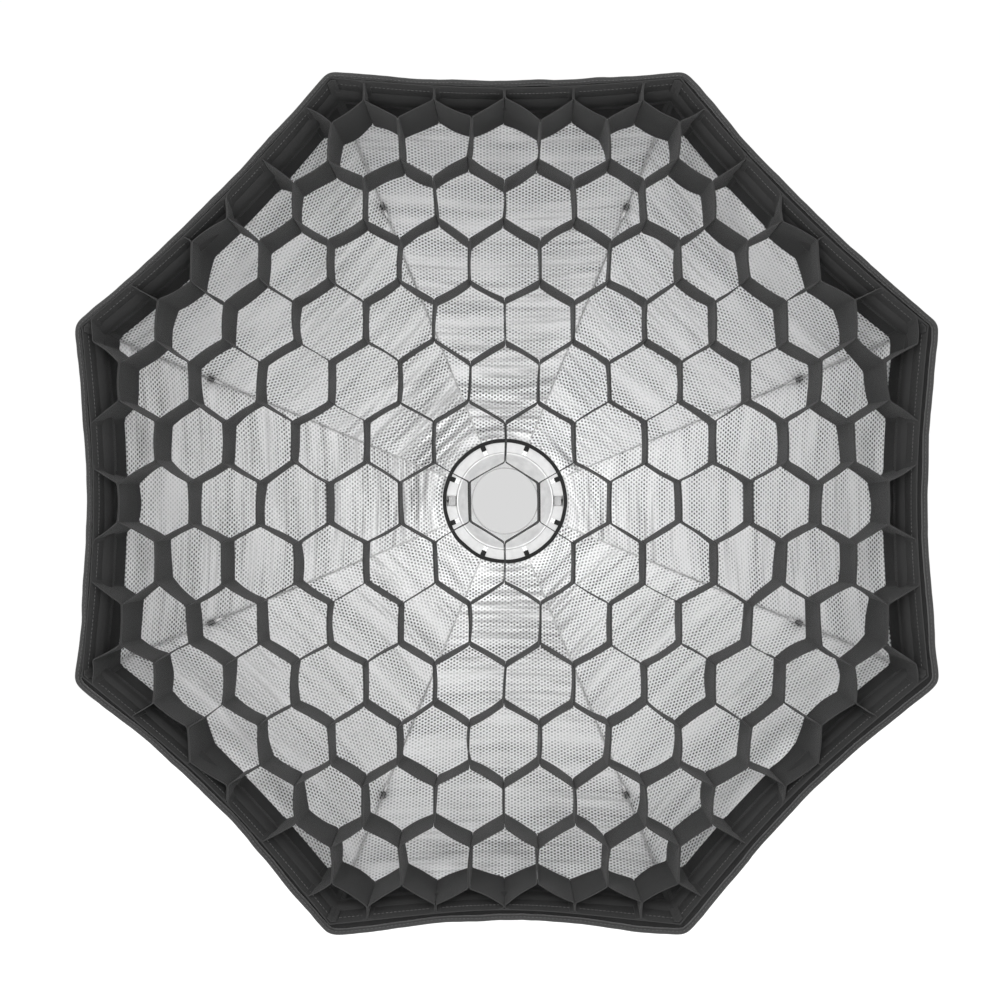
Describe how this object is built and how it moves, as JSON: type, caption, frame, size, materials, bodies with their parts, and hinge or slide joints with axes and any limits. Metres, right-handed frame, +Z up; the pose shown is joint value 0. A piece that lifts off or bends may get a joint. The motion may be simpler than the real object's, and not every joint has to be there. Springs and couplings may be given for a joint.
{
  "type": "softbox honeycomb grid",
  "caption": "Octagonal fabric honeycomb grid fitted in the mouth of its softbox: silver-lined cloth shell on curved rods, speed ring and bayonet mount adapter.",
  "frame": {"origin": "on the optical axis, in the plane of the mount plate's rear face, inside the mount bore", "axes": "+Y along the optical axis to the rear, towards the lamp head; the open front with the grid faces -Y; +Z is up, with flat sides of the octagon at top and bottom"},
  "size_m": [1.1076, 0.467, 1.1076],
  "materials": {
    "cast_alloy": "satin silver casting",
    "mount_steel": "turned steel",
    "screw_steel": "zinc plated",
    "socket_black": "black stove enamel",
    "clip_chrome": "bright plated spring steel",
    "rod_steel": "drawn spring steel",
    "cap_plastic": "moulded, fine grain",
    "shell_cloth": "black coated woven polyester",
    "liner_cloth": "silver, hexagonally embossed",
    "lip_cloth": "black woven polyester",
    "binding_tape": "black ribbed tape",
    "hook_loop": "black hook-and-loop tape",
    "grid_cloth": "dull black woven cloth",
    "hook_plastic": "clear white moulding"
  },
  "bodies": {
    "adapter": {"adapter_ring": "cast_alloy", "mount_plate": "mount_steel", "plate_screws": "screw_steel", "bayonet_lugs": "mount_steel", "lug_screws": "screw_steel"},
    "softbox": {"speed_ring": "cast_alloy", "rod_sockets": "socket_black", "rod_clips": "clip_chrome", "rod_sleeves": "lip_cloth", "rod_caps": "cap_plastic", "rear_binding": "binding_tape", "liner_binding": "binding_tape", "liner_tabs": "binding_tape", "front_hem": "binding_tape", "front_lip": "lip_cloth", "loop_tape": "hook_loop", "baffle_straps": "binding_tape", "baffle_hooks": "hook_plastic", "catch_covers": "cast_alloy", "catch_spring_right": "screw_steel", "catch_spring_left": "screw_steel", "rod_1": "rod_steel", "rod_2": "rod_steel", "rod_3": "rod_steel", "rod_4": "rod_steel", "rod_5": "rod_steel", "rod_6": "rod_steel", "rod_7": "rod_steel", "rod_8": "rod_steel", "outer_panel_1": "shell_cloth", "outer_panel_2": "shell_cloth", "outer_panel_3": "shell_cloth", "outer_panel_4": "shell_cloth", "outer_panel_5": "shell_cloth", "outer_panel_6": "shell_cloth", "outer_panel_7": "shell_cloth", "outer_panel_8": "shell_cloth", "liner_panel_1": "liner_cloth", "liner_panel_2": "liner_cloth", "liner_panel_3": "liner_cloth", "liner_panel_4": "liner_cloth", "liner_panel_5": "liner_cloth", "liner_panel_6": "liner_cloth", "liner_panel_7": "liner_cloth", "liner_panel_8": "liner_cloth"},
    "catch_right": {"catch_right": "mount_steel"},
    "catch_left": {"catch_left": "mount_steel"},
    "grid": {"grid_border": "grid_cloth", "hook_tape": "hook_loop", "grid_strips_1": "grid_cloth", "grid_strips_2": "grid_cloth", "grid_strips_3": "grid_cloth", "grid_strips_4": "grid_cloth", "grid_strips_5": "grid_cloth", "grid_strips_6": "grid_cloth", "grid_strips_7": "grid_cloth", "grid_strips_8": "grid_cloth"}
  },
  "joints": [
    {"name": "softbox_spin", "type": "hinge", "parent": "adapter", "child": "softbox", "pos_m": [0, -0.024, 0], "axis": [0, -1, 0], "continuous": true},
    {"name": "grid_off", "type": "slide", "parent": "softbox", "child": "grid", "axis": [0, -1, 0], "range_m": [0, 0.2]},
    {"name": "catch_right_pull", "type": "slide", "parent": "softbox", "child": "catch_right", "axis": [1, 0, 0], "range_m": [0, 0.003], "stiffness_N_per_m": 800, "springref_m": -0.004, "deforming": ["catch_spring_right"]},
    {"name": "catch_left_pull", "type": "slide", "parent": "softbox", "child": "catch_left", "axis": [-1, 0, 0], "range_m": [0, 0.003], "stiffness_N_per_m": 800, "springref_m": -0.004, "deforming": ["catch_spring_left"]}
  ]
}
